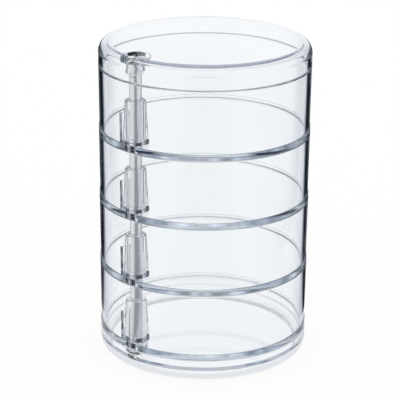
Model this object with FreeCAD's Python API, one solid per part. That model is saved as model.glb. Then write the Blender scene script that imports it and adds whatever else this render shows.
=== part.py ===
import FreeCAD, Part
import math
import os

# A clear round jewellery tower, in millimetres. The base stands on z = 0 with its centre on the
# origin, and -Y is the front. Four trays and a lid swing sideways about one pole, which stands
# just inside the wall at the front left.

# Stack, from the table up
outer_diameter = 115.0
base_height = 12.1
tray_height = 37.3
lid_height = 12.7
tray_count = 4
stack_gap = 0.2

# Walls of the clear mouldings
wall_thickness = 2.4
rim_round = 0.5

# A round smaller than this is a flat between the points where its arc would start and end
smallest_arc = 1.0

# Tray: a floor with a band round its foot, and a wall that widens a little to the rim
tray_floor = 3.2
band_height = 3.7
band_step = 0.35
band_round = 0.35
tray_corner_round = 0.6

# Lid: a shallow cap with a large outer round
lid_plate = 2.6
lid_outer_round = 6.0
lid_inner_round = 3.0

# Base: a raised plate with a low rim above it, and a skirt below that curls in to a narrow foot
base_plate = 1.9
base_plate_height = 5.85
base_plate_round = 0.6
skirt_outer_round = 5.0
skirt_waist = 3.2
skirt_waist_height = 3.6
skirt_waist_round = 2.0
foot_width = 1.2
foot_height = 0.9
foot_round = 0.15

# Pole and its place in the plan; its inset runs from the outside of the wall to its axis
pole_diameter = 6.3
pole_inset = 9.5
pole_direction = 222.0
pole_chamfer = 0.4
running_clearance = 0.08
seat_clearance = 0.04

# Tray hub: a tapered sleeve round the pole, with a foot ring and one web to the wall
hub_height = 26.1
hub_wall_top = 2.1
hub_wall_foot = 3.4
hub_top_round = 0.6
foot_ring_height = 0.8
foot_ring_width = 0.35
foot_ring_round = 0.25
web_height = 16.2
web_thickness = 2.0
web_turn = -25.0

# Lid hub, with a sunk seat for the screw head on a thicker pad
lid_hub_wall = 1.65
lid_hub_depth = 10.1
lid_hub_chamfer = 0.6
seat_depth = 2.4
seat_diameter = 11.2
seat_draft = 1.0
pad_wall = 1.0
shoulder_thickness = 1.8
shoulder_play = 0.1

# Base hub, which holds the pole's foot in a socket
base_hub_wall = 2.6
base_hub_gap = 0.1
base_hub_round = 0.3

# Screws: pan heads with a cross recess
screw_diameter = 4.0
screw_length = 10.0
screw_hole_clearance = 0.2
thread_clearance = 0.03
tapped_depth = 12.0
screw_tip_chamfer = 0.5
head_diameter = 8.0
head_height = 1.6
head_edge_height = 0.7
head_play = 0.05
cross_span = 4.4
cross_width = 1.1
cross_depth = 1.0
cross_draft = 0.25

# Sizes that follow from those above
outer_radius = outer_diameter / 2
pole_radius = pole_diameter / 2
bore_radius = pole_radius + running_clearance
tray_pitch = tray_height + stack_gap
first_tray_bottom = base_height + stack_gap
lid_bottom = first_tray_bottom + tray_count * tray_pitch
lid_top = lid_bottom + lid_height
pole_offset = outer_radius - pole_inset
pole_x = pole_offset * math.cos(math.radians(pole_direction))
pole_y = pole_offset * math.sin(math.radians(pole_direction))
pole_bottom = base_plate_height + base_plate
pole_top = lid_top - seat_depth - shoulder_thickness - shoulder_play
cut_margin = 1.0

up = FreeCAD.Vector(0, 0, 1)


def rounded_wire(corners):
    """Closed outline in the XZ plane from (radius, height, round) corners; a round is a tangent arc."""
    points = [FreeCAD.Vector(r, 0, z) for r, z, _ in corners]
    starts = []
    ends = []
    arcs = []
    for i, (_, _, fillet) in enumerate(corners):
        corner = points[i]
        back = (points[i - 1] - corner).normalize()
        ahead = (points[(i + 1) % len(points)] - corner).normalize()
        if fillet <= 0:
            starts.append(corner)
            ends.append(corner)
            arcs.append(None)
            continue
        half_angle = back.getAngle(ahead) / 2
        reach = fillet / math.tan(half_angle)
        middle = (back + ahead).normalize() * (fillet / math.sin(half_angle) - fillet)
        starts.append(corner + back * reach)
        ends.append(corner + ahead * reach)
        arc = Part.Arc(starts[i], corner + middle, ends[i]).toShape()
        flat = Part.LineSegment(starts[i], ends[i]).toShape()
        arcs.append(flat if fillet < smallest_arc else arc)
    edges = []
    for i in range(len(points)):
        if arcs[i]:
            edges.append(arcs[i])
        following = starts[(i + 1) % len(points)]
        if (following - ends[i]).Length > 1e-6:
            edges.append(Part.LineSegment(ends[i], following).toShape())
    return Part.Wire(edges)


def turned(corners):
    """Solid of revolution about Z from a half outline."""
    return Part.Face(rounded_wire(corners)).revolve(FreeCAD.Vector(0, 0, 0), up, 360)


def at_pole(shape, height=0.0):
    """The same shape moved onto the pole's axis."""
    moved = shape.copy()
    moved.translate(FreeCAD.Vector(pole_x, pole_y, height))
    return moved


def rod(radius, low, high):
    """Upright cylinder on the pole's axis."""
    return at_pole(Part.makeCylinder(radius, high - low), low)


def mirrored(shape, height):
    """The shape upside down, so that z = 0 comes to the given height."""
    return shape.mirror(FreeCAD.Vector(0, 0, height / 2), up)


# Trays
def tray_outline(inside):
    """Half outline of a tray; without its inside it is the envelope that hub and web stay in."""
    foot_radius = outer_radius - band_step
    outside = [
        (0, 0, 0),
        (outer_radius, 0, band_round),
        (outer_radius, band_height, band_round),
        (foot_radius, band_height, 0),
    ]
    if not inside:
        return outside + [(outer_radius, tray_height, rim_round), (0, tray_height, 0)]
    return outside + [
        (outer_radius, tray_height, rim_round),
        (outer_radius - wall_thickness, tray_height, rim_round),
        (foot_radius - wall_thickness, tray_floor, tray_corner_round),
        (0, tray_floor, 0),
    ]


def tray_hub():
    """Tapered sleeve with a foot ring, moulded in one with the tray."""
    foot_radius = bore_radius + hub_wall_foot
    foot_top = tray_floor + foot_ring_height
    hub = turned([
        (0, tray_floor / 2, 0),
        (foot_radius + foot_ring_width, tray_floor / 2, 0),
        (foot_radius + foot_ring_width, foot_top, foot_ring_round),
        (foot_radius, foot_top, foot_ring_round),
        (bore_radius + hub_wall_top, hub_height, hub_top_round),
        (0, hub_height, 0),
    ])
    return at_pole(hub)


def tray_web():
    """Upright plate that ties the hub to the wall."""
    reach = outer_radius
    low = tray_floor / 2
    plate = Part.makeBox(reach, web_thickness, tray_floor + web_height - low)
    plate.translate(FreeCAD.Vector(0, -web_thickness / 2, low))
    plate.rotate(FreeCAD.Vector(0, 0, 0), up, pole_direction + web_turn)
    return at_pole(plate)


def tray():
    inner_radius = outer_radius - band_step - wall_thickness / 2
    envelope = Part.makeCylinder(inner_radius, tray_height)
    body = turned(tray_outline(inside=True))
    body = body.fuse([tray_hub().common(envelope), tray_web().common(envelope)])
    body = body.cut(rod(bore_radius, -cut_margin, tray_height + cut_margin))
    return body.removeSplitter()


# Base and lid
def base():
    waist_radius = outer_radius - skirt_waist
    foot_radius = outer_radius - skirt_outer_round - foot_width
    plate_top = base_plate_height + base_plate
    shell = turned([
        (0, base_plate_height, 0),
        (outer_radius - wall_thickness, base_plate_height, base_plate_round),
        (waist_radius, skirt_waist_height, skirt_waist_round),
        (foot_radius, foot_height, foot_round),
        (foot_radius, 0, foot_round),
        (outer_radius, 0, skirt_outer_round),
        (outer_radius, base_height, rim_round),
        (outer_radius - wall_thickness, base_height, rim_round),
        (outer_radius - wall_thickness, plate_top, base_plate_round),
        (0, plate_top, 0),
    ])
    hub_radius = pole_radius + seat_clearance + base_hub_wall
    hub_top = base_height - base_hub_gap
    hub = at_pole(turned([
        (0, base_plate_height + base_plate / 2, 0),
        (hub_radius, base_plate_height + base_plate / 2, 0),
        (hub_radius, hub_top, base_hub_round),
        (0, hub_top, 0),
    ]))
    body = shell.fuse(hub)
    body = body.cut([
        rod(screw_diameter / 2 + screw_hole_clearance, base_plate_height - cut_margin, plate_top + cut_margin),
        rod(pole_radius + seat_clearance, plate_top, hub_top + cut_margin),
    ])
    return body.removeSplitter()


def lid_outline(inside):
    """Half outline of the lid; without its inside it is the envelope that the hub stays in."""
    outside = [
        (0, lid_height, 0),
        (outer_radius, lid_height, lid_outer_round),
        (outer_radius, 0, rim_round),
    ]
    if not inside:
        return outside + [(0, 0, 0)]
    return outside + [
        (outer_radius - wall_thickness, 0, rim_round),
        (outer_radius - wall_thickness, lid_height - lid_plate, lid_inner_round),
        (0, lid_height - lid_plate, 0),
    ]


def lid():
    """Cap with a hub for the pole's end, and a sunk seat for a screw head in its top."""
    pad_radius = seat_diameter / 2 + seat_draft + pad_wall
    hub_radius = bore_radius + lid_hub_wall
    shoulder = lid_height - seat_depth - shoulder_thickness
    hub_end = lid_height - lid_hub_depth
    inside_plate = lid_height - lid_plate / 2
    hub = at_pole(turned([
        (0, inside_plate, 0),
        (pad_radius, inside_plate, 0),
        (pad_radius, shoulder, rim_round),
        (hub_radius, shoulder, 0),
        (hub_radius, hub_end + lid_hub_chamfer, 0),
        (hub_radius - lid_hub_chamfer, hub_end, 0),
        (0, hub_end, 0),
    ]))
    seat = at_pole(Part.makeCone(
        seat_diameter / 2,
        seat_diameter / 2 + seat_draft * (1 + cut_margin / seat_depth),
        seat_depth + cut_margin,
    ), lid_height - seat_depth)
    body = turned(lid_outline(inside=True)).fuse(hub.common(turned(lid_outline(inside=False))))
    body = body.cut([
        seat,
        rod(screw_diameter / 2 + screw_hole_clearance, shoulder - cut_margin, lid_height),
        rod(bore_radius, hub_end - cut_margin, shoulder),
    ])
    return body.removeSplitter()


# Pole and screws
def pole():
    length = pole_top - pole_bottom
    bar = turned([
        (0, 0, 0),
        (pole_radius - pole_chamfer, 0, 0),
        (pole_radius, pole_chamfer, 0),
        (pole_radius, length - pole_chamfer, 0),
        (pole_radius - pole_chamfer, length, 0),
        (0, length, 0),
    ])
    hole = Part.makeCylinder(screw_diameter / 2 + thread_clearance, tapped_depth)
    top_hole = hole.copy()
    top_hole.translate(FreeCAD.Vector(0, 0, length - tapped_depth))
    return at_pole(bar.cut([hole, top_hole]), pole_bottom)


def cross_arm():
    """One arm of the cross recess, narrower at its bottom."""
    low = Part.makePolygon(arm_corners(cross_span - 2 * cross_draft, cross_width - cross_draft, 0))
    high = Part.makePolygon(arm_corners(cross_span, cross_width, cross_depth))
    return Part.makeLoft([low, high], True, True)


def arm_corners(length, width, height):
    half_length = length / 2
    half_width = width / 2
    corners = [
        (-half_length, -half_width),
        (half_length, -half_width),
        (half_length, half_width),
        (-half_length, half_width),
        (-half_length, -half_width),
    ]
    return [FreeCAD.Vector(x, y, height) for x, y in corners]


def screw():
    """Pan-head screw that points down, with its head's underside on z = 0."""
    head_radius = head_diameter / 2
    crown = head_height - head_edge_height
    dome_radius = (head_radius ** 2 + crown ** 2) / (2 * crown)
    edge = FreeCAD.Vector(head_radius, 0, head_edge_height)
    top = FreeCAD.Vector(0, 0, head_height)
    half_way = math.asin(head_radius / dome_radius) / 2
    dome_point = FreeCAD.Vector(
        dome_radius * math.sin(half_way),
        0,
        head_height - dome_radius * (1 - math.cos(half_way)),
    )
    outline = [
        Part.Arc(edge, dome_point, top).toShape(),
        Part.makePolygon([
            top,
            FreeCAD.Vector(0, 0, -screw_length),
            FreeCAD.Vector(screw_diameter / 2 - screw_tip_chamfer, 0, -screw_length),
            FreeCAD.Vector(screw_diameter / 2, 0, screw_tip_chamfer - screw_length),
            FreeCAD.Vector(screw_diameter / 2, 0, 0),
            FreeCAD.Vector(head_radius, 0, 0),
            edge,
        ]),
    ]
    body = Part.Face(Part.Wire(outline)).revolve(FreeCAD.Vector(0, 0, 0), up, 360)
    arm = cross_arm()
    arm.translate(FreeCAD.Vector(0, 0, head_height - cross_depth))
    other_arm = arm.copy()
    other_arm.rotate(FreeCAD.Vector(0, 0, 0), up, 90)
    return body.cut([arm, other_arm])


def pole_screws():
    """Two like screws, one down through the lid and one up through the base, into the pole's ends."""
    top = at_pole(screw(), lid_top - seat_depth + head_play)
    bottom = at_pole(mirrored(screw(), 0), base_plate_height - head_play)
    return Part.makeCompound([top, bottom])


def save(name, shape):
    shape.exportStep("parts/" + name + ".step")
    print(name, "solids", len(shape.Solids), "valid", shape.isValid(), "volume", round(shape.Volume, 1))


os.makedirs("parts", exist_ok=True)
save("base", base())
clear_tray = tray()
for level in range(tray_count):
    placed = clear_tray.copy()
    placed.translate(FreeCAD.Vector(0, 0, first_tray_bottom + level * tray_pitch))
    save("tray_" + str(level + 1), placed)
clear_lid = lid()
clear_lid.translate(FreeCAD.Vector(0, 0, lid_bottom))
save("lid", clear_lid)
save("pole", pole())
save("pole_screws", pole_screws())
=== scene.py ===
import bpy
import math
import numpy as np
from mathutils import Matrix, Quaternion, Vector


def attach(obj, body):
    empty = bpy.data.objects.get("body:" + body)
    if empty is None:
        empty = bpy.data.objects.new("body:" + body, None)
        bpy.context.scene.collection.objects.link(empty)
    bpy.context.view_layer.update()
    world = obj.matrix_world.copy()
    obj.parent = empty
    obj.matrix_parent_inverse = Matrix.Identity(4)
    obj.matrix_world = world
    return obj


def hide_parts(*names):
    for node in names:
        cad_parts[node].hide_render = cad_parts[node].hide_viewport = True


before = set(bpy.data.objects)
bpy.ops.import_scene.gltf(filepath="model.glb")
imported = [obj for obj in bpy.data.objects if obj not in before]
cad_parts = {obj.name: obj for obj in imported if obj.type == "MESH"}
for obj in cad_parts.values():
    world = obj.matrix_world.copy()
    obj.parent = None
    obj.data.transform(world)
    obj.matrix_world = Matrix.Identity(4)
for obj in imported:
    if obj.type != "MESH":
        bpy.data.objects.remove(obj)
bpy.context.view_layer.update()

mm = 0.001
smallest = 1e-6         # in mm; anything shorter counts as nothing
scene = bpy.context.scene


def hexColour(code):
    # sRGB hex to the linear values that nodes take
    values = [int(code[i:i + 2], 16) / 255 for i in (1, 3, 5)]
    linear = [v / 12.92 if v <= 0.04045 else ((v + 0.055) / 1.055) ** 2.4 for v in values]
    return (*linear, 1.0)


def addNode(tree, kind, settings=None, links=None):
    # one node, with its settings and values and what feeds it
    node = tree.nodes.new(kind)
    for key, value in (settings or {}).items():
        if isinstance(key, str) and hasattr(node, key):
            setattr(node, key, value)
        else:
            node.inputs[key].default_value = value
    for key, source in (links or {}).items():
        tree.links.new(source, node.inputs[key])
    return node


# Where a mix node has its factor and two colours, and their blend
mixSockets = {"factor": 0, "first": 6, "second": 7, "blend": 2}


def mixed(tree, factor, first, second):
    # blend of two colours, each fixed or an output
    node = addNode(tree, "ShaderNodeMix", {"data_type": "RGBA"}, {mixSockets["factor"]: factor})
    for socket, colour in ((mixSockets["first"], first), (mixSockets["second"], second)):
        if isinstance(colour, tuple):
            node.inputs[socket].default_value = colour
        else:
            tree.links.new(colour, node.inputs[socket])
    return node.outputs[mixSockets["blend"]]


def calculated(tree, operation, first, second=None):
    # a calculation on one or two values, each a number or an output
    node = addNode(tree, "ShaderNodeMath", {"operation": operation})
    for socket, value in zip(node.inputs, (first, second)):
        if isinstance(value, (int, float)):
            socket.default_value = value
        elif value is not None:
            tree.links.new(value, socket)
    return node.outputs[0]


def newMaterial(name):
    material = bpy.data.materials.new(name)
    material.use_nodes = True
    material.node_tree.nodes.clear()
    return material, material.node_tree


# Where the stack's pieces stand, and the pole that they turn about, in millimetres
stack = {
    "radius": 57.5,
    "wall": 2.4,
    "rimRound": 0.5,
    "baseHeight": 12.1,
    "trayBottoms": [12.3, 49.8, 87.3, 124.8],
    "lidBottom": 162.3,
    "poleAxis": (-35.6709, -32.1183),
    "segments": 720,            # round the tower, fine enough for clean refraction
    "hubSegments": 120,
    "arcSteps": 6,
    "cutMargin": 1,             # how far a cutter reaches past what it cuts
}

# What made a face is kept as its material number until the normals are set
tags = {"body": 0, "hub": 1, "hole": 2, "flat": 3}


def outlineRuns(corners, arcSteps):
    # short straight runs of a closed half outline: start, end, and the true normal at each
    points = [Vector((r, z)) for r, z, fillet in corners]
    count = len(points)
    area = sum(points[i - 1].x * points[i].y - points[i].x * points[i - 1].y for i in range(count))
    side = 1 if area > 0 else -1
    starts, ends, arcs = [], [], []
    for i, (r, z, fillet) in enumerate(corners):
        back = (points[i - 1] - points[i]).normalized()
        ahead = (points[(i + 1) % count] - points[i]).normalized()
        if fillet <= 0:
            starts.append(points[i])
            ends.append(points[i])
            arcs.append([])
            continue
        half = back.angle(ahead) / 2
        centre = points[i] + (back + ahead).normalized() * (fillet / math.sin(half))
        start = points[i] + back * (fillet / math.tan(half))
        end = points[i] + ahead * (fillet / math.tan(half))
        first, last = start - centre, end - centre
        turn = math.atan2(first.x * last.y - first.y * last.x, first.dot(last))
        outward = 1 if first.dot(Vector((-back.y, back.x)) * side) > 0 else -1
        arc = []
        for step in range(arcSteps + 1):
            angle = turn * step / arcSteps
            spoke = Vector((first.x * math.cos(angle) - first.y * math.sin(angle),
                            first.x * math.sin(angle) + first.y * math.cos(angle)))
            arc.append((centre + spoke, spoke.normalized() * outward))
        starts.append(start)
        ends.append(end)
        arcs.append(arc)
    runs = []
    for i in range(count):
        for here, there in zip(arcs[i], arcs[i][1:]):
            runs.append((here[0], there[0], here[1], there[1]))
        following = starts[(i + 1) % count]
        way = following - ends[i]
        if way.length > smallest:
            normal = Vector((way.y, -way.x)).normalized() * side
            runs.append((ends[i], following, normal, normal))
    return runs, side


def taggedPiece(name, verts, faces, tag):
    # verts in metres; an empty material slot stands for each tag
    mesh = bpy.data.meshes.new(name)
    mesh.from_pydata(verts, [], faces)
    for slotNumber in tags.values():
        mesh.materials.append(None)
    mesh.polygons.foreach_set("material_index", [tag] * len(faces))
    piece = bpy.data.objects.new(name, mesh)
    scene.collection.objects.link(piece)
    return piece


def turnedPiece(name, corners, segments, arcSteps=stack["arcSteps"], axis=(0, 0), tag=tags["body"],
                hollow=False):
    # a solid turned from a half outline of (radius, height, round) corners in millimetres; its surface is
    # kept for the normals
    runs, side = outlineRuns(corners, arcSteps)
    turns = np.arange(segments) * (2 * math.pi / segments)
    verts, rings = [], []
    for start, end, startNormal, endNormal in runs:
        if start.x < smallest:
            rings.append([len(verts)])
            verts.append((axis[0] * mm, axis[1] * mm, start.y * mm))
        else:
            first = len(verts)
            rings.append(list(range(first, first + segments)))
            verts.extend(((axis[0] + start.x * math.cos(t)) * mm, (axis[1] + start.x * math.sin(t)) * mm,
                          start.y * mm) for t in turns)
    faces = []
    for i in range(len(rings)):
        low, high = rings[i], rings[(i + 1) % len(rings)]
        if len(low) == 1 and len(high) == 1:
            continue
        for k in range(segments):
            n = (k + 1) % segments
            if len(low) == 1:
                face = (low[0], high[n], high[k])
            elif len(high) == 1:
                face = (low[k], low[n], high[0])
            else:
                face = (low[k], low[n], high[n], high[k])
            faces.append(face if side > 0 else face[::-1])
    surface = {
        "ends": np.array([[tuple(start), tuple(end)] for start, end, startNormal, endNormal in runs]),
        "normals": np.array([[tuple(startNormal), tuple(endNormal)]
                             for start, end, startNormal, endNormal in runs]),
        "axis": axis,
        "flip": -1 if hollow else 1,
    }
    return taggedPiece(name, verts, faces, tag), surface


def boxPiece(name, low, high):
    # a box between two rings of four corners in millimetres, anticlockwise from above
    verts = [tuple(value * mm for value in corner) for corner in low + high]
    faces = [(3, 2, 1, 0), (4, 5, 6, 7), (0, 1, 5, 4), (1, 2, 6, 5), (2, 3, 7, 6), (3, 0, 4, 7)]
    return taggedPiece(name, verts, faces, tags["flat"])


def joined(piece, others, operation):
    # the boolean's result takes the place of the piece's mesh, and the others go
    for other in others:
        modifier = piece.modifiers.new("joined", "BOOLEAN")
        modifier.operation = operation
        modifier.solver = "EXACT"
        modifier.object = other
    result = bpy.data.meshes.new_from_object(piece.evaluated_get(bpy.context.evaluated_depsgraph_get()))
    piece.modifiers.clear()
    piece.data = result
    for other in others:
        bpy.data.objects.remove(other)


def trueNormals(piece, surfaces):
    # each face corner gets the normal of the turned surface that it lies on, and a flat face its own
    mesh = piece.data
    faceCount, cornerCount = len(mesh.polygons), len(mesh.loops)
    faceTags = np.zeros(faceCount, np.int32)
    centres = np.zeros(faceCount * 3)
    faceNormals = np.zeros(faceCount * 3)
    sizes = np.zeros(faceCount, np.int32)
    cornerVerts = np.zeros(cornerCount, np.int32)
    verts = np.zeros(len(mesh.vertices) * 3)
    mesh.polygons.foreach_get("material_index", faceTags)
    mesh.polygons.foreach_get("center", centres)
    mesh.polygons.foreach_get("normal", faceNormals)
    mesh.polygons.foreach_get("loop_total", sizes)
    mesh.loops.foreach_get("vertex_index", cornerVerts)
    mesh.vertices.foreach_get("co", verts)
    centres = centres.reshape(-1, 3) / mm
    corners = verts.reshape(-1, 3)[cornerVerts] / mm
    faceOf = np.repeat(np.arange(faceCount), sizes)
    normals = faceNormals.reshape(-1, 3)[faceOf].copy()
    for name, surface in surfaces.items():
        faces = np.nonzero(faceTags == tags[name])[0]
        if not len(faces):
            continue
        starts, ways = surface["ends"][:, 0], surface["ends"][:, 1] - surface["ends"][:, 0]
        lengths = (ways ** 2).sum(1)
        # the run that each face's middle is nearest to
        middle = centres[faces] - (*surface["axis"], 0)
        flat = np.stack([np.hypot(middle[:, 0], middle[:, 1]), middle[:, 2]], 1)
        along = np.clip(((flat[:, None] - starts) * ways).sum(2) / lengths, 0, 1)
        gap = ((starts + along[..., None] * ways - flat[:, None]) ** 2).sum(2)
        nearest = np.zeros(faceCount, np.int64)
        nearest[faces] = gap.argmin(1)
        # the normal at each of its corners' place along that run
        mine = np.nonzero(faceTags[faceOf] == tags[name])[0]
        run = nearest[faceOf[mine]]
        place = corners[mine] - (*surface["axis"], 0)
        radius = np.hypot(place[:, 0], place[:, 1])
        here = np.stack([radius, place[:, 2]], 1)
        share = np.clip(((here - starts[run]) * ways[run]).sum(1) / lengths[run], 0, 1)[:, None]
        normal = surface["normals"][run, 0] * (1 - share) + surface["normals"][run, 1] * share
        normal *= surface["flip"] / np.linalg.norm(normal, axis=1)[:, None]
        outward = normal[:, 0] / np.maximum(radius, smallest)
        normals[mine] = np.stack([outward * place[:, 0], outward * place[:, 1], normal[:, 1]], 1)
    mesh.polygons.foreach_set("use_smooth", [True] * faceCount)
    mesh.normals_split_custom_set(normals.tolist())
    return piece


def finishPiece(piece, material, body, node):
    mesh = piece.data
    mesh.materials.clear()
    mesh.materials.append(material)
    mesh.polygons.foreach_set("material_index", [0] * len(mesh.polygons))
    mesh.update()
    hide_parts(node)
    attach(piece, body)


# Clear polystyrene, injection moulded: hard, water-white, with glossy mirror-smooth walls that show only
# the faintest waves of the mould's polish
polystyrene = {
    "colour": "#ffffff",
    "ior": 1.58,
    "reflectionTint": "#959595",
    "roughest": 0.012,
    "waveSize": 35,
    "waveHeight": 0.05,
    "tint": "#8198ad",          # long ways through the plates go grey blue, a wall takes a few hundredths
    "depth": 5.5,
}


def clearPolystyrene():
    material, tree = newMaterial("clearPolystyrene")
    coords = addNode(tree, "ShaderNodeTexCoord")
    waves = addNode(tree, "ShaderNodeTexNoise",
                    {"Scale": 1 / (polystyrene["waveSize"] * mm), "Detail": 1.0},
                    {"Vector": coords.outputs["Object"]})
    roughness = addNode(tree, "ShaderNodeMapRange", {"To Min": 0.0, "To Max": polystyrene["roughest"]},
                        {"Value": waves.outputs[0]})
    bump = addNode(tree, "ShaderNodeBump", {"Strength": 1.0, "Distance": polystyrene["waveHeight"] * mm},
                   {"Height": waves.outputs[0]})
    shader = addNode(tree, "ShaderNodeBsdfPrincipled", {
        "Base Color": hexColour(polystyrene["colour"]),
        "IOR": polystyrene["ior"],
        "Transmission Weight": 1.0,
        "Specular Tint": hexColour(polystyrene["reflectionTint"]),
    }, {"Roughness": roughness.outputs[0], "Normal": bump.outputs[0]})
    inside = addNode(tree, "ShaderNodeVolumeAbsorption",
                     {"Color": hexColour(polystyrene["tint"]), "Density": polystyrene["depth"]})
    addNode(tree, "ShaderNodeOutputMaterial", None,
            {"Surface": shader.outputs[0], "Volume": inside.outputs[0]})
    return material


print("clear plastic")
clear = clearPolystyrene()

# Tray, with a hub round the pole and one web to the wall, all one moulding
trayShape = {
    "height": 37.3, "floor": 2.6, "bandHeight": 3.7, "bandStep": 0.35, "bandRound": 0.35,
    "cornerRound": 0.6, "bore": 3.23, "hubTop": 5.33, "hubFoot": 6.63, "hubHeight": 26.1,
    "hubTopRound": 0.6, "ringRadius": 6.98, "ringTop": 4.0, "ringRound": 0.25,
    "webTop": 19.4, "webThickness": 2.0, "webTurn": 197.0, "webLength": 8.64,
}


def webPiece(shape, low):
    # upright plate from the pole's axis to the middle of the wall
    turn = math.radians(shape["webTurn"])
    foot = Vector(stack["poleAxis"])
    outwards = Vector((math.cos(turn), math.sin(turn))) * shape["webLength"]
    aside = Vector((-math.sin(turn), math.cos(turn))) * shape["webThickness"] / 2
    plan = [foot - aside, foot + outwards - aside, foot + outwards + aside, foot + aside]
    return boxPiece("web", [(*point, low) for point in plan],
                    [(*point, shape["webTop"]) for point in plan])


def makeTray(shape):
    radius, wall, rim = stack["radius"], stack["wall"], stack["rimRound"]
    foot = radius - shape["bandStep"]
    inFloor = shape["floor"] / 2        # hub and web start inside the floor
    body, bodySurface = turnedPiece("tray", [
        (0, 0, 0),
        (radius, 0, shape["bandRound"]),
        (radius, shape["bandHeight"], shape["bandRound"]),
        (foot, shape["bandHeight"], 0),
        (radius, shape["height"], rim),
        (radius - wall, shape["height"], rim),
        (foot - wall, shape["floor"], shape["cornerRound"]),
        (0, shape["floor"], 0),
    ], stack["segments"])
    hub, hubSurface = turnedPiece("hub", [
        (0, inFloor, 0),
        (shape["ringRadius"], inFloor, 0),
        (shape["ringRadius"], shape["ringTop"], shape["ringRound"]),
        (shape["hubFoot"], shape["ringTop"], shape["ringRound"]),
        (shape["hubTop"], shape["hubHeight"], shape["hubTopRound"]),
        (0, shape["hubHeight"], 0),
    ], stack["hubSegments"], axis=stack["poleAxis"], tag=tags["hub"])
    bore, boreSurface = turnedPiece("bore", [
        (0, -stack["cutMargin"], 0),
        (shape["bore"], -stack["cutMargin"], 0),
        (shape["bore"], shape["height"], 0),
        (0, shape["height"], 0),
    ], stack["hubSegments"], axis=stack["poleAxis"], tag=tags["hole"], hollow=True)
    joined(body, [hub, webPiece(shape, inFloor)], "UNION")
    joined(body, [bore], "DIFFERENCE")
    return trueNormals(body, {"body": bodySurface, "hub": hubSurface, "hole": boreSurface})


print("trays")
firstTray = makeTray(trayShape)
for level, bottom in enumerate(stack["trayBottoms"]):
    name = "tray_" + str(level + 1)
    tray = firstTray.copy()
    tray.data = firstTray.data.copy()
    tray.name = "clear_" + name
    scene.collection.objects.link(tray)
    lifted = np.zeros(len(tray.data.vertices) * 3)
    tray.data.vertices.foreach_get("co", lifted)
    lifted[2::3] += bottom * mm
    tray.data.vertices.foreach_set("co", lifted)
    finishPiece(tray, clear, name + "_body", name)
bpy.data.objects.remove(firstTray)

# Lid: a cap with a large outer round, a short hub below and a sunk seat for the screw above
lidShape = {
    "height": 12.7, "plate": 2.6, "outerRound": 6.0, "innerRound": 3.0, "hubRadius": 4.88,
    "hubBottom": 2.6, "hubChamfer": 0.6, "padRadius": 7.6, "padInset": 0.2, "shoulder": 8.5, "bore": 3.23,
    "screwHole": 2.2, "seatDepth": 2.4, "seatRadius": 4.4, "seatTop": 4.8, "mouthRound": 0.3,
    "mouthReach": 2, "mouthRise": 0.4, "arcSteps": 14, "insetSegments": 240,
}


def makeLid(shape, bottom):
    radius, wall, rim = stack["radius"], stack["wall"], stack["rimRound"]
    top = bottom + shape["height"]
    plateBottom = top - shape["plate"]
    inPlate = top - shape["plate"] / 2  # the hub starts inside the plate
    shoulder, hubBottom = bottom + shape["shoulder"], bottom + shape["hubBottom"]
    cap, capSurface = turnedPiece("clear_lid", [
        (0, top, 0),
        (radius, top, shape["outerRound"]),
        (radius, bottom, rim),
        (radius - wall, bottom, rim),
        (radius - wall, plateBottom, shape["innerRound"]),
        (0, plateBottom, 0),
    ], stack["segments"], arcSteps=shape["arcSteps"])
    hub, hubSurface = turnedPiece("lid_hub", [
        (0, inPlate, 0),
        (shape["padRadius"], inPlate, 0),
        (shape["padRadius"], shoulder, rim),
        (shape["hubRadius"], shoulder, 0),
        (shape["hubRadius"], hubBottom + shape["hubChamfer"], 0),
        (shape["hubRadius"] - shape["hubChamfer"], hubBottom, 0),
        (0, hubBottom, 0),
    ], stack["hubSegments"], axis=stack["poleAxis"], tag=tags["hub"])
    # the pad is kept just inside the cap's outer round
    inset = shape["padInset"]
    inside = turnedPiece("inside", [
        (0, top - inset, 0),
        (radius - inset, top - inset, shape["outerRound"] - inset),
        (radius - inset, bottom, 0),
        (0, bottom, 0),
    ], shape["insetSegments"], arcSteps=shape["arcSteps"], tag=tags["hub"])[0]
    joined(hub, [inside], "INTERSECT")
    joined(cap, [hub], "UNION")
    # bore, screw hole and seat in one cutter, with a rounded mouth
    seatBottom, mouth = top - shape["seatDepth"], shape["seatTop"] + shape["mouthReach"]
    cutter, cutterSurface = turnedPiece("cutter", [
        (0, bottom - stack["cutMargin"], 0),
        (shape["bore"], bottom - stack["cutMargin"], 0),
        (shape["bore"], shoulder, 0),
        (shape["screwHole"], shoulder, 0),
        (shape["screwHole"], seatBottom, 0),
        (shape["seatRadius"], seatBottom, 0),
        (shape["seatTop"], top, shape["mouthRound"]),
        (mouth, top + shape["mouthRise"], 0),
        (mouth, top + stack["cutMargin"], 0),
        (0, top + stack["cutMargin"], 0),
    ], stack["hubSegments"], axis=stack["poleAxis"], tag=tags["hole"], hollow=True)
    joined(cap, [cutter], "DIFFERENCE")
    return trueNormals(cap, {"body": capSurface, "hub": hubSurface, "hole": cutterSurface})


print("lid")
finishPiece(makeLid(lidShape, stack["lidBottom"]), clear, "lid_body", "lid")

# Base: a raised plate with a low rim, and a skirt that curls in below it to a narrow foot
baseShape = {
    "plateBottom": 5.85, "plateTop": 7.75, "plateRound": 0.6, "skirtRound": 5.0, "waistRadius": 54.3,
    "waistHeight": 3.6, "waistRound": 2.0, "footInside": 51.3, "footHeight": 0.9, "footRound": 0.15,
    "hubRadius": 5.79, "hubTop": 12.0, "hubRound": 0.3, "socket": 3.19, "screwHole": 2.2, "arcSteps": 10,
}


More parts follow.
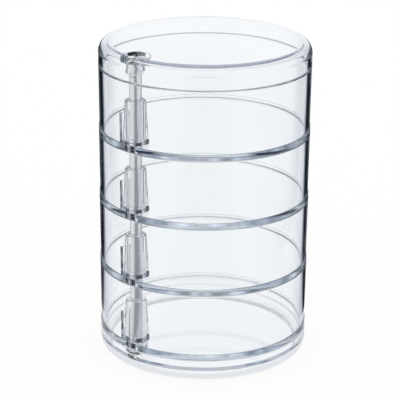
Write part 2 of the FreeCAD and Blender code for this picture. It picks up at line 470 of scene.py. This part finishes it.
def makeBase(shape):
    radius, wall, rim = stack["radius"], stack["wall"], stack["rimRound"]
    inPlate = (shape["plateBottom"] + shape["plateTop"]) / 2
    shell, shellSurface = turnedPiece("clear_base", [
        (0, shape["plateBottom"], 0),
        (radius - wall, shape["plateBottom"], shape["plateRound"]),
        (shape["waistRadius"], shape["waistHeight"], shape["waistRound"]),
        (shape["footInside"], shape["footHeight"], shape["footRound"]),
        (shape["footInside"], 0, shape["footRound"]),
        (radius, 0, shape["skirtRound"]),
        (radius, stack["baseHeight"], rim),
        (radius - wall, stack["baseHeight"], rim),
        (radius - wall, shape["plateTop"], shape["plateRound"]),
        (0, shape["plateTop"], 0),
    ], stack["segments"], arcSteps=shape["arcSteps"])
    hub, hubSurface = turnedPiece("base_hub", [
        (0, inPlate, 0),
        (shape["hubRadius"], inPlate, 0),
        (shape["hubRadius"], shape["hubTop"], shape["hubRound"]),
        (0, shape["hubTop"], 0),
    ], stack["hubSegments"], axis=stack["poleAxis"], tag=tags["hub"])
    joined(shell, [hub], "UNION")
    # screw hole and socket in one cutter
    cutter, cutterSurface = turnedPiece("cutter", [
        (0, shape["plateBottom"] - stack["cutMargin"], 0),
        (shape["screwHole"], shape["plateBottom"] - stack["cutMargin"], 0),
        (shape["screwHole"], shape["plateTop"], 0),
        (shape["socket"], shape["plateTop"], 0),
        (shape["socket"], shape["hubTop"] + stack["cutMargin"], 0),
        (0, shape["hubTop"] + stack["cutMargin"], 0),
    ], stack["hubSegments"], axis=stack["poleAxis"], tag=tags["hole"], hollow=True)
    joined(shell, [cutter], "DIFFERENCE")
    return trueNormals(shell, {"body": shellSurface, "hub": hubSurface, "hole": cutterSurface})


print("base")
finishPiece(makeBase(baseShape), clear, "stand", "base")

# Pole: a steel bar, drawn and polished, with broken edges. A bright, slightly soft mirror with fine lines
# round it
poleShape = {"radius": 3.15, "bottom": 7.75, "top": 170.7, "edge": 0.4, "arcSteps": 4}
barFinish = {
    "colour": "#e6e6e8",
    "lineScale": (300.0, 300.0, 6000.0),    # to the metre, so a line is a sixth of a millimetre high
    "smoothest": 0.10,
    "roughest": 0.18,
}


def polishedSteel():
    material, tree = newMaterial("polishedSteel")
    coords = addNode(tree, "ShaderNodeTexCoord")
    squeezed = addNode(tree, "ShaderNodeMapping", {"Scale": barFinish["lineScale"]},
                       {"Vector": coords.outputs["Object"]})
    lines = addNode(tree, "ShaderNodeTexNoise", {"Scale": 1.0, "Detail": 2.0},
                    {"Vector": squeezed.outputs[0]})
    roughness = addNode(tree, "ShaderNodeMapRange",
                        {"To Min": barFinish["smoothest"], "To Max": barFinish["roughest"]},
                        {"Value": lines.outputs[0]})
    shader = addNode(tree, "ShaderNodeBsdfPrincipled",
                     {"Base Color": hexColour(barFinish["colour"]), "Metallic": 1.0},
                     {"Roughness": roughness.outputs[0]})
    addNode(tree, "ShaderNodeOutputMaterial", None, {"Surface": shader.outputs[0]})
    return material


def makePole(shape):
    bar, barSurface = turnedPiece("steel_pole", [
        (0, shape["bottom"], 0),
        (shape["radius"], shape["bottom"], shape["edge"]),
        (shape["radius"], shape["top"], shape["edge"]),
        (0, shape["top"], 0),
    ], stack["hubSegments"], arcSteps=shape["arcSteps"], axis=stack["poleAxis"])
    return trueNormals(bar, {"body": barSurface})


print("pole")
finishPiece(makePole(poleShape), polishedSteel(), "stand", "pole")

# Two like screws hold the pole's ends: pan heads with rounded edges and a cross recess
screwShape = {
    "shank": 2.0, "length": 10.0, "tip": 0.5, "pitch": 0.7, "groove": 0.3, "turns": 11, "segments": 96,
    "head": 4.0, "headHeight": 1.6, "edgeHeight": 1.0, "edgeRound": 0.4, "underRound": 0.15, "flat": 2.2,
    "crownRound": 2.5, "crossSpan": 4.4, "crossWidth": 1.1, "crossDepth": 1.0, "crossDraft": 0.25,
    "crossMargin": 0.1, "topHeight": 172.65, "bottomHeight": 5.8,
}

# Nickel plating over rolled steel: brighter and smoother than the bar. Inside the cross recess the colour
# is a painted shade, dark where the deep recess falls into shade, a little patchy with the grain
plating = {
    "bright": "#b4b2af",
    # painted shade: the dark colour put in the cross recess, not the plating's own colour
    "recess": "#2b2927",
    "recessEdge": 0.045,        # the painted shade starts so far below the head's top, and ends so below the recess
    "grain": 0.4,
    "grainSpan": (0.3, 0.7),    # what the noise mostly keeps to
    "shadeLeast": 0.85,          # how much of the painted shade stays where the grain thins it most
    "smoothest": 0.12,
    "roughest": 0.22,
}


def platedSteel(shape):
    material, tree = newMaterial("nickelPlatedSteel")
    coords = addNode(tree, "ShaderNodeTexCoord")
    grain = addNode(tree, "ShaderNodeTexNoise", {"Scale": 1 / (plating["grain"] * mm), "Detail": 2.0},
                    {"Vector": coords.outputs["Object"]})
    # inside the cross recess of either head, where the shade is painted: near the axis, and level with the
    # recess, counted from halfway between the two screws
    x, y = stack["poleAxis"]
    middle = (shape["topHeight"] + shape["bottomHeight"]) / 2
    recessTop = shape["topHeight"] + shape["headHeight"] - plating["recessEdge"] - middle
    recessBottom = recessTop - shape["crossDepth"]
    fromAxis = addNode(tree, "ShaderNodeMapping",
                       {"Location": (-x * mm, -y * mm, 0.0), "Scale": (1.0, 1.0, 0.0)},
                       {"Vector": coords.outputs["Object"]})
    reach = addNode(tree, "ShaderNodeVectorMath", {"operation": "LENGTH"}, {0: fromAxis.outputs[0]})
    height = addNode(tree, "ShaderNodeSeparateXYZ", None, {0: coords.outputs["Object"]})
    fromMiddle = calculated(tree, "ABSOLUTE",
                            calculated(tree, "SUBTRACT", height.outputs["Z"], middle * mm))
    level = calculated(tree, "MULTIPLY", calculated(tree, "LESS_THAN", fromMiddle, recessTop * mm),
                       calculated(tree, "GREATER_THAN", fromMiddle, recessBottom * mm))
    near = calculated(tree, "LESS_THAN", reach.outputs["Value"],
                      (shape["crossSpan"] / 2 + shape["crossMargin"]) * mm)
    # the grain makes the painted recess shade a little patchy
    patchyShade = addNode(tree, "ShaderNodeMapRange",
                   {"From Min": plating["grainSpan"][0], "From Max": plating["grainSpan"][1],
                    "To Min": plating["shadeLeast"], "To Max": 1.0}, {"Value": grain.outputs[0]})
    inside = calculated(tree, "MULTIPLY", near, level)
    # painted shade: inside the recess the bright plating gives way to the dark shade colour
    colour = mixed(tree, calculated(tree, "MULTIPLY", inside, patchyShade.outputs[0]),
                   hexColour(plating["bright"]), hexColour(plating["recess"]))
    roughness = addNode(tree, "ShaderNodeMapRange",
                        {"To Min": plating["smoothest"], "To Max": plating["roughest"]},
                        {"Value": grain.outputs[0]})
    shader = addNode(tree, "ShaderNodeBsdfPrincipled", {"Metallic": 1.0},
                     {"Base Color": colour, "Roughness": roughness.outputs[0]})
    addNode(tree, "ShaderNodeOutputMaterial", None, {"Surface": shader.outputs[0]})
    return material


def crossArm(shape, turned):
    # one arm of the recess, narrower at its bottom
    rings = []
    for height, span, width in (
            (shape["headHeight"] - shape["crossDepth"],
             shape["crossSpan"] - 2 * shape["crossDraft"], shape["crossWidth"] - shape["crossDraft"]),
            (shape["headHeight"] + shape["crossMargin"], shape["crossSpan"], shape["crossWidth"])):
        ring = [(x * span / 2, y * width / 2) for x, y in ((-1, -1), (1, -1), (1, 1), (-1, 1))]
        rings.append([(-y, x, height) if turned else (x, y, height) for x, y in ring])
    return boxPiece("arm", *rings)


def makeScrew(shape):
    outline = [(0, -shape["length"], 0), (shape["shank"] - shape["tip"], -shape["length"], 0)]
    for turn in range(shape["turns"]):
        crest = shape["pitch"] * (turn + 1) - shape["length"]
        outline.append((shape["shank"] - shape["groove"], crest - shape["pitch"] / 2, 0))
        outline.append((shape["shank"], crest, 0))
    outline += [
        (shape["shank"], 0, 0),
        (shape["head"], 0, shape["underRound"]),
        (shape["head"], shape["edgeHeight"], shape["edgeRound"]),
        (shape["flat"], shape["headHeight"], shape["crownRound"]),
        (0, shape["headHeight"], 0),
    ]
    screw, surface = turnedPiece("screw", outline, shape["segments"])
    joined(screw, [crossArm(shape, False)], "DIFFERENCE")
    joined(screw, [crossArm(shape, True)], "DIFFERENCE")
    return trueNormals(screw, {"body": surface})


def screwPairTree():
    # puts the screw at both ends of a line, the lower one upside down
    tree = bpy.data.node_groups.new("screwPair", "GeometryNodeTree")
    for name, direction, kind in (
            ("Screw", "INPUT", "Geometry"), ("Top", "INPUT", "Vector"), ("Bottom", "INPUT", "Vector"),
            ("Finish", "INPUT", "Material"), ("Pair", "OUTPUT", "Geometry")):
        tree.interface.new_socket(name, in_out=direction, socket_type="NodeSocket" + kind)
    given = addNode(tree, "NodeGroupInput")
    ends = addNode(tree, "GeometryNodeMeshLine",
                   {"mode": "END_POINTS", "count_mode": "TOTAL", "Count": 2},
                   {"Start Location": given.outputs["Top"], "Offset": given.outputs["Bottom"]})
    number = addNode(tree, "GeometryNodeInputIndex")
    half = addNode(tree, "ShaderNodeMath", {"operation": "MULTIPLY", 1: math.pi}, {0: number.outputs[0]})
    spin = addNode(tree, "ShaderNodeCombineXYZ", None, {"X": half.outputs[0]})
    placed = addNode(tree, "GeometryNodeInstanceOnPoints", None, {
        "Points": ends.outputs[0], "Instance": given.outputs["Screw"], "Rotation": spin.outputs[0]})
    real = addNode(tree, "GeometryNodeRealizeInstances", None, {"Geometry": placed.outputs[0]})
    finished = addNode(tree, "GeometryNodeSetMaterial", None,
                       {"Geometry": real.outputs[0], "Material": given.outputs["Finish"]})
    addNode(tree, "NodeGroupOutput", None, {"Pair": finished.outputs[0]})
    return tree


print("screws")
plated = platedSteel(screwShape)
screws = makeScrew(screwShape)
screws.name = "pole_end_screws"
pair = screws.modifiers.new("pair", "NODES")
pair.node_group = screwPairTree()
inputs = {item.name: item.identifier for item in pair.node_group.interface.items_tree
          if item.in_out == "INPUT"}
for name, height in (("Top", screwShape["topHeight"]), ("Bottom", screwShape["bottomHeight"])):
    pair[inputs[name]] = [value * mm for value in (*stack["poleAxis"], height)]
pair[inputs["Finish"]] = plated
screws.update_tag()
both = bpy.data.meshes.new_from_object(screws.evaluated_get(bpy.context.evaluated_depsgraph_get()))
screws.modifiers.clear()
screws.data = both
finishPiece(screws, plated, "stand", "pole_screws")


# Studio: a white floor and backdrop. What mirrors inside the clear walls show is what stands round the
# tower: the white behind it, unlit gaps beside that, pale boards at the sides, a dimmer camera side.
# Each ramp runs from straight behind (0) to straight in front (1), for what one mirror shows and for what
# a mirror shows of another. What is seen straight through is white
studio = {
    "white": "#ffffff",
    "through": "#f5f9fc",
    "overhead": "#767b84",
    "litTop": 0.07,             # as sines of the angle above level
    "darkFrom": 0.14,
    "floorOnce": [
        (0.0, "#f4f7fb"), (0.035, "#e9eef6"), (0.055, "#02060f"), (0.19, "#040915"), (0.225, "#ccd3dc"),
        (0.34, "#d4dae2"), (0.46, "#f6f8fb"), (0.87, "#eef0f3"), (0.94, "#a4a7ad"), (1.0, "#94979e")],
    "floorAgain": [
        (0.0, "#f1f5fb"), (0.04, "#e6ecf5"), (0.07, "#2c3444"), (0.19, "#303848"), (0.23, "#c3c9d4"),
        (0.42, "#d8dde4"), (0.78, "#e4e6ea"), (0.90, "#83878f"), (1.0, "#797d85")],
    "aboveOnce": [
        (0.0, "#ffffff"), (0.08, "#f4f6fa"), (0.14, "#a9b2c2"), (0.27, "#b3bccb"), (0.36, "#e9edf3"),
        (0.80, "#eef0f3"), (1.0, "#c9ccd1")],
    "aboveAgain": [
        (0.0, "#f7faff"), (0.07, "#eef3fb"), (0.11, "#b3bccb"), (0.25, "#b9c2d0"), (0.32, "#dfe4eb"),
        (0.38, "#4c525d"), (0.60, "#4c525d"), (0.68, "#dfe2e8"), (0.88, "#83878f"), (1.0, "#797d85")],
    "nearFloor": "#e6e8ec",
    "nearReach": 80,
    "halfWidth": 50,            # the floor's ramps turn about the tower's sides, not its middle
    "streakScale": (9.0, 9.0, 40.0),
    "streakSpan": (0.3, 0.7),   # what the noise mostly keeps to
    "streakLow": 0.5,
    "streakHigh": 1.5,
    "shadowShare": 0.08,
    "floorHalf": 9000,
    "floorDrop": 0.1,           # keeps the floor clear of the tower's foot
}


def ramp(tree, stops, factor):
    node = addNode(tree, "ShaderNodeValToRGB", None, {"Fac": factor})
    while len(node.color_ramp.elements) < len(stops):
        node.color_ramp.elements.new(1.0)
    for element, (position, code) in zip(node.color_ramp.elements, stops):
        element.position = position
        element.color = hexColour(code)
    return node.outputs["Color"]


def happened(tree, path, depth, times):
    # whether a path of light has been mirrored or let through at least so many times
    return calculated(tree, "GREATER_THAN", path.outputs[depth], times - 0.5)


def studioLight(tree, place, isFloor):
    # place: where on the floor, or which way into the backdrop
    path = addNode(tree, "ShaderNodeLightPath")
    split = addNode(tree, "ShaderNodeSeparateXYZ", None, {0: place})
    sideways = calculated(tree, "ABSOLUTE", split.outputs["X"])
    if isFloor:
        sideways = calculated(tree, "SUBTRACT", sideways, studio["halfWidth"] * mm)
        sideways = calculated(tree, "MAXIMUM", sideways, 0.0)
    turn = calculated(tree, "ARCTAN2", sideways, split.outputs["Y"])
    turn = calculated(tree, "DIVIDE", turn, math.pi)
    once, again = ("floorOnce", "floorAgain") if isFloor else ("aboveOnce", "aboveAgain")
    streaks = addNode(tree, "ShaderNodeMapping", {"Scale": studio["streakScale"]}, {"Vector": place})
    noise = addNode(tree, "ShaderNodeTexNoise", {"Scale": 1.0, "Detail": 1.0},
                    {"Vector": streaks.outputs[0]})
    strength = addNode(tree, "ShaderNodeMapRange",
                       {"From Min": studio["streakSpan"][0], "From Max": studio["streakSpan"][1],
                        "To Min": studio["streakLow"], "To Max": studio["streakHigh"]},
                       {"Value": noise.outputs[0]})
    streaked = addNode(tree, "ShaderNodeVectorMath", {"operation": "SCALE"},
                       {0: ramp(tree, studio[again], turn), "Scale": strength.outputs[0]})
    around = mixed(tree, happened(tree, path, "Glossy Depth", 2), ramp(tree, studio[once], turn),
                   streaked.outputs["Vector"])
    through = hexColour(studio["through"])
    if isFloor:
        reach = addNode(tree, "ShaderNodeVectorMath", {"operation": "LENGTH"}, {0: place})
        near = calculated(tree, "LESS_THAN", reach.outputs["Value"], studio["nearReach"] * mm)
        around = mixed(tree, near, around, hexColour(studio["nearFloor"]))
    else:
        # bent upwards, a path leaves the lit part of the backdrop
        lift = addNode(tree, "ShaderNodeMapRange",
                       {"From Min": studio["litTop"], "From Max": studio["darkFrom"]},
                       {"Value": split.outputs["Z"]})
        through = mixed(tree, lift.outputs[0], through, hexColour(studio["overhead"]))
    plain = mixed(tree, happened(tree, path, "Transmission Depth", 1),
                  hexColour(studio["white"]), through)
    return mixed(tree, happened(tree, path, "Glossy Depth", 1), plain, around)


print("studio")
half, drop = studio["floorHalf"] * mm, studio["floorDrop"] * mm
floorCorners = [(x * half, y * half, -drop) for x, y in ((-1, -1), (1, -1), (1, 1), (-1, 1))]
floorMesh = bpy.data.meshes.new("floor")
floorMesh.from_pydata(floorCorners, [], [(0, 1, 2, 3)])
floor = bpy.data.objects.new("floor", floorMesh)
scene.collection.objects.link(floor)
floorMaterial, floorTree = newMaterial("whiteFloor")
floorPlace = addNode(floorTree, "ShaderNodeTexCoord").outputs["Object"]
floorLight = addNode(floorTree, "ShaderNodeEmission", None,
                     {"Color": studioLight(floorTree, floorPlace, True)})
# seen straight on, a share of the floor is lit by the backdrop and takes the tower's faint shadow
matt = addNode(floorTree, "ShaderNodeBsdfDiffuse", {"Color": hexColour(studio["white"])})
floorPath = addNode(floorTree, "ShaderNodeLightPath")
share = calculated(floorTree, "MULTIPLY", floorPath.outputs["Is Camera Ray"], studio["shadowShare"])
floorSurface = addNode(floorTree, "ShaderNodeMixShader", None,
                       {0: share, 1: floorLight.outputs[0], 2: matt.outputs[0]})
addNode(floorTree, "ShaderNodeOutputMaterial", None, {"Surface": floorSurface.outputs[0]})
floorMesh.materials.append(floorMaterial)

world = bpy.data.worlds.new("softStudio")
scene.world = world
world.use_nodes = True
world.node_tree.nodes.clear()
skyPlace = addNode(world.node_tree, "ShaderNodeTexCoord").outputs["Generated"]
sky = addNode(world.node_tree, "ShaderNodeBackground", None,
              {"Color": studioLight(world.node_tree, skyPlace, False)})
addNode(world.node_tree, "ShaderNodeOutputWorld", None, {"Surface": sky.outputs[0]})

# Camera, fitted to the rims of the tower, with lengths in millimetres. Light needs many bounces inside
# clear walls
view = {
    "height": 87.5,
    "distance": 954,
    "elevation": 19.49,         # in degrees
    "aside": -2.16,
    "above": -3.72,
    "roll": 0.0083,             # in radians
    "lens": 155.4,
    "sensor": 36,
    "bounces": 96,
    "mirrored": 80,
    "letThrough": 32,
    "transparent": 16,
}
rise = math.radians(view["elevation"])
upward = Vector((0, math.sin(rise), math.cos(rise)))
back, up = view["distance"] * math.cos(rise), view["distance"] * math.sin(rise)
place = Vector((0, -back, view["height"] + up))
target = Vector((view["aside"], 0, view["height"])) + upward * view["above"]
facing = (target - place).to_track_quat("-Z", "Y")
camera = bpy.data.objects.new("camera", bpy.data.cameras.new("camera"))
camera.data.lens = view["lens"]
camera.data.sensor_width = view["sensor"]
camera.location = place * mm
camera.rotation_mode = "QUATERNION"
camera.rotation_quaternion = facing @ Quaternion((0, 0, 1), view["roll"])
scene.collection.objects.link(camera)
scene.camera = camera
scene.cycles.max_bounces = view["bounces"]
scene.cycles.glossy_bounces = view["mirrored"]
scene.cycles.transmission_bounces = view["letThrough"]
scene.cycles.transparent_max_bounces = view["transparent"]
scene.view_settings.view_transform = "Standard"
